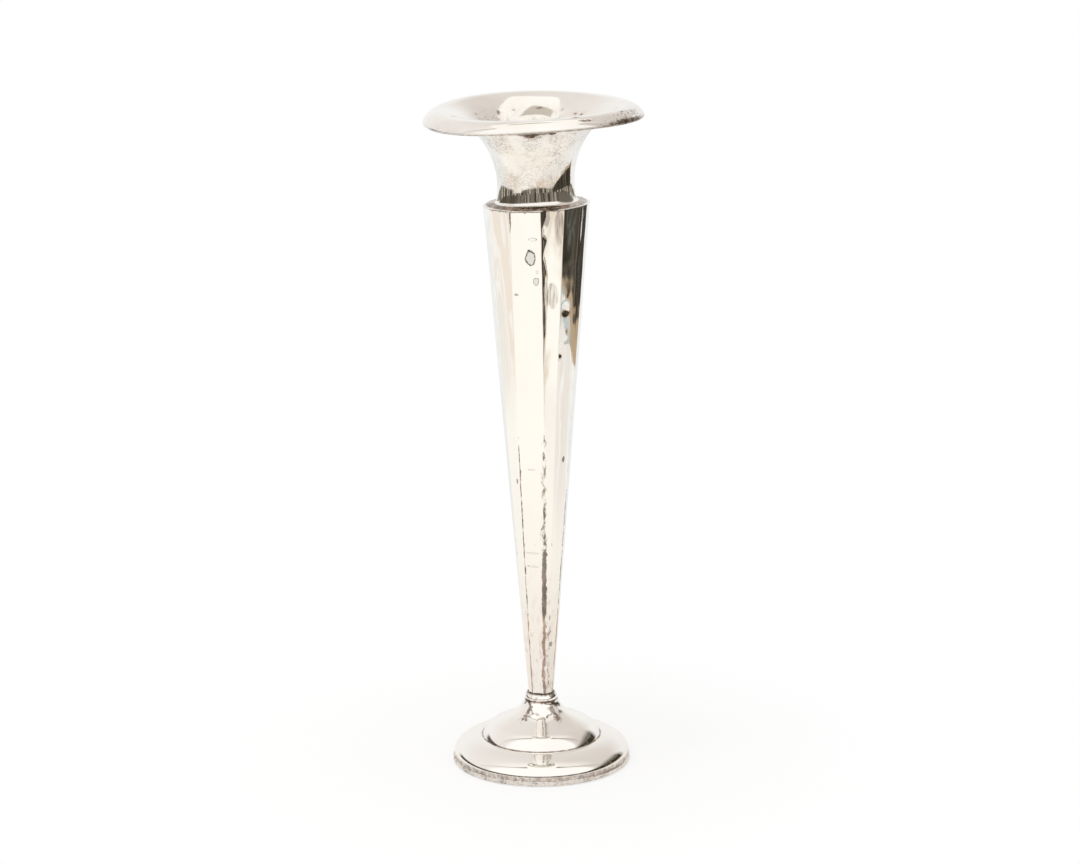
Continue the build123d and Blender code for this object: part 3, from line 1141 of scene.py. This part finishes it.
paint(pad, felt("baize_green"))
paint(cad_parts["pitch_filling"], set_pitch("pitch_dark"))
paint(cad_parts["base_plate"], tinned("tinplate_grey"))
paint(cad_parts["body_floor"], silver("silver_floor", joint_tarnish))
print("inside pieces finished")

# %% [markdown]
# The floor
#
# The vase stands on white paper. A mirror shows its room, so the room is part of the look. To the camera the
# paper is white with a soft shadow; in reflections it has a few warm and cool tones, and ends in a dark
# clutter about a metre away, as a real table does.

# %% Floor
WHITE = (1, 1, 1, 1)
PAPER = (1.06, 1.035, 0.975, 1)
BLUSH = (0.91, 0.83, 0.745, 1)
SHADED = (0.85, 0.815, 0.775, 1)
PEACH = (0.84, 0.755, 0.655, 1)
COOL_BACK = (0.86, 0.875, 0.875, 1)
WARM_NEAR = (0.94, 0.86, 0.79, 1)
PALE = (1.0, 0.985, 0.96, 1)
COOL_GREY = (0.60, 0.625, 0.615, 1)
TEAL = (0.20, 0.33, 0.35, 1)
CLUTTER_DARK = (0.040, 0.034, 0.026, 1)
CLUTTER_LIGHT = (0.62, 0.57, 0.47, 1)
DEGREES = 180 / math.pi


def mirrored_paper(shop, away):
    """The colour of the paper in reflections, by the distance and the turn from the vase."""
    across = shop.axis(0)
    ahead = 0 - shop.axis(1)
    turn = across.maths("ARCTAN2", across, ahead) * DEGREES
    blush = turn.rising(-42, -64) * away.rising(0.36, 0.50)
    colour = shop.blend(blush, PAPER, BLUSH)
    colour = shop.blend(across.rising(0.10, 0.35), colour, SHADED)
    peach = turn.rising(-3, 4) * away.rising(0.50, 0.60) * ahead.rising(0.05, 0.20)
    colour = shop.blend(peach, colour, PEACH)
    colour = shop.blend(ahead.rising(0.0, -0.25), colour, COOL_BACK)
    colour = shop.blend(away.rising(0.32, 0.10) * 0.55, colour, WARM_NEAR)
    bands = shop.stripes(turn / 4, 3.0).rising(0.48, 0.62) * abs(across).rising(0.1, 0.3)
    colour = shop.blend(bands * 0.8, colour, PALE)
    cool = across.rising(0.485, 0.51) * abs(ahead).rising(0.08, 0.05)
    colour = shop.blend(cool, colour, COOL_GREY)
    colour = shop.blend(cool * (1 - cool) * 2.8, colour, TEAL)
    wobble = shop.grain(0.35, detail=4.0) * 1.2 - 0.6
    beyond = (ahead + wobble * 0.3).rising(1.00, 1.08) + (across + wobble * 0.3).rising(1.0, 1.06)
    beyond = beyond + (wobble * 0.2 - across + ahead.rising(0.0, -0.4) * 0.25).rising(1.12, 1.18)
    beyond = beyond * (1 - turn.rising(-78, -64) * turn.rising(-40, -46) * away.rising(2.1, 1.9))
    litter = shop.stripes(turn / 5, 5.0).rising(0.44, 0.62)
    clutter = shop.blend(litter, CLUTTER_DARK, CLUTTER_LIGHT)
    return shop.blend(beyond.rising(0.0, 1.0), colour, clutter)


def white_paper(name):
    """White paper that keeps a soft shadow near the vase and turns to plain white further out."""
    made, shop = material(name)
    away = shop.node("ShaderNodeVectorMath", {"operation": "LENGTH"}, {0: shop.place((1, 1, 0))}, 1)
    camera = shop.node("ShaderNodeLightPath", output=0)
    glossy = shop.node("ShaderNodeLightPath", output=3)
    uneven = shop.grain(40 * MM).rising(0.3, 0.7) * 0.3
    tone = shop.blend(uneven, (0.90, 0.895, 0.88, 1), (0.93, 0.925, 0.915, 1))
    matt = shop.node("ShaderNodeBsdfDiffuse", sockets={"Color": tone})
    seen = shop.blend(camera, mirrored_paper(shop, away), WHITE)
    glow = shop.node("ShaderNodeEmission", sockets={"Color": seen, "Strength": 1.0})
    far = away.rising(0.04, 0.16)
    share = camera * (0.70 + 0.30 * far) + glossy * (0.35 + 0.65 * far)
    mixed = shop.node("ShaderNodeMixShader", sockets={0: share, 1: matt, 2: glow})
    shop.node("ShaderNodeOutputMaterial", sockets={"Surface": mixed})
    return made


FLOOR_SIZE = 6.0
half = FLOOR_SIZE / 2
floor_mesh = bpy.data.meshes.new("floor")
corners = [(-half, -half, 0), (half, -half, 0), (half, half, 0), (-half, half, 0)]
floor_mesh.from_pydata(corners, [], [(0, 1, 2, 3)])
floor = bpy.data.objects.new("floor", floor_mesh)
bpy.context.scene.collection.objects.link(floor)
paint(floor, white_paper("paper_white"))

# %% [markdown]
# A dark screen
#
# A dark cloth screen stands on the right. It shows only in reflections, and gives the right side of the body
# and of the neck the dark that tells a mirror from white paint. Its foot runs in a bent line, which draws the
# lower edge of the dark on the silver.

# %% Dark screen
TAN_STRIPE = 82 * MM
CLOTH_DARK = (0.028, 0.025, 0.018, 1)
CLOTH_FOLD_HIGHLIGHT = (0.095, 0.084, 0.068, 1)
CLOTH_TAN = (0.30, 0.23, 0.18, 1)
CLOTH_GREY = (0.13, 0.135, 0.12, 1)
HEM = (0.50, 0.38, 0.25, 1)


def dark_cloth(name):
    """Dark brown cloth that glows at its own tone, with painted highlights on faint upright folds, a tan and
    a grey stripe, and a tan hem.
    """
    made, shop = material(name)
    along, height = shop.axis(1), shop.axis(2)
    # Painted highlight: the lighter upright folds
    colour = shop.blend(shop.grain(60 * MM, (1, 1, 0.15)).rising(0.3, 0.75), CLOTH_DARK, CLOTH_FOLD_HIGHLIGHT)
    colour = shop.blend(abs(along - TAN_STRIPE).rising(6 * MM, 3 * MM), colour, CLOTH_TAN)
    colour = shop.blend(abs(along).rising(5 * MM, 2 * MM), colour, CLOTH_GREY)
    hem = (height - along.rising(-30 * MM, 50 * MM) * 16 * MM).rising(13 * MM, 8 * MM)
    colour = shop.blend(hem, colour, HEM)
    glow = shop.node("ShaderNodeEmission", sockets={"Color": colour, "Strength": 1.0})
    shop.node("ShaderNodeOutputMaterial", sockets={"Surface": glow})
    return made


def only_mirrored(piece, finish):
    """A piece of the studio that shows only in reflections."""
    bpy.context.scene.collection.objects.link(piece)
    piece.visible_camera = False
    piece.visible_diffuse = False
    piece.visible_shadow = False
    piece.visible_transmission = False
    paint(piece, finish)


def screen(name, foot_line, height, finish):
    """An upright folding screen along a line of floor points."""
    mesh = bpy.data.meshes.new(name)
    points = [(x, y, 0) for x, y in foot_line] + [(x, y, height) for x, y in foot_line]
    count = len(foot_line)
    mesh.from_pydata(points, [], [(i, i + 1, i + 1 + count, i + count) for i in range(count - 1)])
    only_mirrored(bpy.data.objects.new(name, mesh), finish)


SCREEN_HEIGHT = 0.15
# Floor points in metres, from the front to the back
right_line = [
    (1.003, -0.784),
    (0.684, -0.318),
    (0.591, -0.119),
    (0.545, -0.03),
    (0.535, 0.015),
    (0.475, 0.07),
    (0.462, 0.11),
    (0.447, 0.235),
    (0.420, 0.255),
    (0.375, 0.262),
]
screen("screen_right", right_line, SCREEN_HEIGHT, dark_cloth("cloth_dark"))

# %% [markdown]
# A card over the mouth
#
# The inside of the mouth looks straight up, so a white card hangs close above it, as a photographer would
# hold one. The vase hides the card from its own foot. A grey diamond in the card breaks up the bright patch.

# %% Card
def plain_light(name, colour):
    """An evenly lit card, a little uneven in tone."""
    made, shop = material(name)
    tone = shop.blend(shop.grain(30 * MM).rising(0.3, 0.7) * 0.06, colour, (0.9, 0.85, 0.78, 1))
    glow = shop.node("ShaderNodeEmission", sockets={"Color": tone, "Strength": 1.0})
    shop.node("ShaderNodeOutputMaterial", sockets={"Surface": glow})
    return made


def card(name, corners, height, finish):
    """A flat card at a height, drawn by its corners."""
    mesh = bpy.data.meshes.new(name)
    mesh.from_pydata([(x, y, height) for x, y in corners], [], [tuple(range(len(corners)))])
    only_mirrored(bpy.data.objects.new(name, mesh), finish)


CARD_GAP = 0.10
DIAMOND_DROP = 0.003
card_height = shoulder + mouth_rise + CARD_GAP
# Corners in metres, across and to the back
card_line = [
    (-0.07, -0.07),
    (0.07, -0.07),
    (0.07, 0.01),
    (0.054, 0.045),
    (0.035, 0.050),
    (0.015, 0.065),
    (0.004, 0.083),
    (-0.004, 0.076),
    (-0.012, 0.081),
    (-0.025, 0.053),
    (-0.039, 0.030),
    (-0.060, 0.006),
]
diamond_line = [
    (-0.035, 0.0045),
    (0.023, 0.005),
    (0.012, 0.013),
    (-0.003, 0.037),
    (-0.017, 0.032),
    (-0.029, 0.026),
]
card("card_white", card_line, card_height, plain_light("card_bright", (1.06, 1.04, 1.0, 1)))
card_grey = plain_light("card_grey", (0.62, 0.58, 0.51, 1))
card("card_diamond", diamond_line, card_height - DIAMOND_DROP, card_grey)
print("floor, screen and card placed")

# %% [markdown]
# The room and the lamp
#
# The room is painted on the world by direction. Pitch is the angle up from the front, and bearing is the
# angle round from the front, positive to the right. There are grey-pink walls, a wide window in front with a
# dark frame along its top, a soft glow overhead, and a dark band and two dim corners near the horizon. One
# softbox gives the shadow on the paper, and reflections don't show it.

# %% Room
WALL_LEFT = (0.88, 0.845, 0.82, 1)
WALL_RIGHT = (0.71, 0.665, 0.625, 1)
BACKDROP = (0.93, 0.925, 0.915, 1)
OVERHEAD = (1.03, 1.0, 0.95, 1)
WINDOW = (1.06, 1.05, 1.03, 1)
FRAME = (0.12, 0.105, 0.09, 1)
BAND_DARK = (0.035, 0.028, 0.022, 1)
BAND_LIGHT = (0.40, 0.36, 0.30, 1)
DIM_RIGHT = (0.15, 0.14, 0.11, 1)
DIM_LEFT = (0.10, 0.085, 0.065, 1)
GROUND = (1.0, 0.975, 0.93, 1)
AMBIENT = (0.62, 0.61, 0.60, 1)

world = bpy.data.worlds.new("studio")
bpy.context.scene.world = world
world.use_nodes = True
room = Shop(world.node_tree)
direction = room.node("ShaderNodeTexCoord", output=0)
right, back, up = [room.node("ShaderNodeSeparateXYZ", sockets={0: direction}, output=i) for i in range(3)]
front = 0 - back
pitch = up.maths("ARCTAN2", up, front) * DEGREES
bearing = up.maths("ARCTAN2", right, front) * DEGREES
heading = abs(bearing)
ahead = heading.rising(80, 68)

walls = room.blend(right.rising(-0.8, 0.8), WALL_LEFT, WALL_RIGHT)
walls = room.blend(back.rising(0.2, 0.75) * up.rising(0.70, 0.25), walls, BACKDROP)
overhead = pitch.rising(87, 90) * pitch.rising(112, 94) * abs(right).rising(0.75, 0.35)
walls = room.blend(overhead * 0.7, walls, OVERHEAD)
window = pitch.rising(8, 10.5) * pitch.rising(86, 84.5) * ahead
walls = room.blend(window, walls, WINDOW)
window_frame = pitch.rising(84.5, 85.5) * pitch.rising(90, 88) * heading.rising(95, 75)
walls = room.blend(window_frame, walls, FRAME)
streaks = room.stripes(right * 9, 5.0)
shade = room.blend(streaks.rising(0.35, 0.70), BAND_DARK, BAND_LIGHT)
horizon = up.rising(-0.10, -0.085) * up.rising(0.19, 0.145)
horizon = horizon * bearing.rising(121, 115) * bearing.rising(-135, -126)
walls = room.blend(horizon, walls, shade)
above = up.rising(-0.1, 0.0)
dim_right = (up - bearing.rising(60, 110) * 0.34).rising(0.30, 0.04)
dim_right = dim_right * bearing.rising(58, 75) * bearing.rising(140, 126)
walls = room.blend(dim_right * above * 0.95, walls, DIM_RIGHT)
dim_left = (up - bearing.rising(-50, -115) * 0.12).rising(0.11, 0.0)
dim_left = dim_left * bearing.rising(-48, -62) * bearing.rising(-140, -128)
broken = 0.35 + streaks.rising(0.3, 0.6) * 0.6
walls = room.blend(dim_left * broken * above, walls, DIM_LEFT)
studio = room.blend(up.rising(-0.085, -0.10), walls, GROUND)

camera_ray = room.node("ShaderNodeLightPath", output=0)
glossy_ray = room.node("ShaderNodeLightPath", output=3)
seen = room.blend(glossy_ray, AMBIENT, studio)
seen = room.blend(camera_ray, seen, WHITE)
sky = room.node("ShaderNodeBackground", sockets={"Color": seen, "Strength": 1.0})
room.node("ShaderNodeOutputWorld", sockets={"Surface": sky})
print("room painted")

# %% Lamp
lamp_data = bpy.data.lights.new("softbox", "AREA")
lamp_data.shape = "RECTANGLE"
lamp_data.size = 0.9
lamp_data.size_y = 1.4
lamp_data.energy = 14
lamp = bpy.data.objects.new("softbox", lamp_data)
bpy.context.scene.collection.objects.link(lamp)
lamp.location = (-0.25, -0.25, 1.5)
lamp.rotation_euler = (Vector((0, 0, 0.1)) - lamp.location).to_track_quat("-Z", "Y").to_euler()
lamp.visible_glossy = False
print("softbox at", [round(v, 2) for v in lamp.location])

# %% [markdown]
# The camera
#
# A long lens looks slightly down at the vase, as in a catalogue picture. The picture is turned by half a
# degree, so the whole camera is turned about the vase by that much.

# %% Camera
PICTURE = (1080, 864)
FOCAL_PIXELS = 3453
camera_back = 1.2434
camera_height = 0.4448
camera_side = -0.0006
camera_tilt = math.radians(90 - 14.304)
picture_turn = math.radians(0.5)
camera_data = bpy.data.cameras.new("camera")
camera_data.sensor_width = 36
camera_data.lens = FOCAL_PIXELS * camera_data.sensor_width / PICTURE[0]
camera = bpy.data.objects.new("camera", camera_data)
bpy.context.scene.collection.objects.link(camera)
stand = Matrix.Translation((camera_side, -camera_back, camera_height)) @ Matrix.Rotation(camera_tilt, 4, "X")
camera.matrix_world = Matrix.Rotation(picture_turn, 4, "Y") @ stand
bpy.context.scene.camera = camera
bpy.context.scene.view_settings.view_transform = "Standard"
print(f"lens {camera_data.lens:.1f} mm")
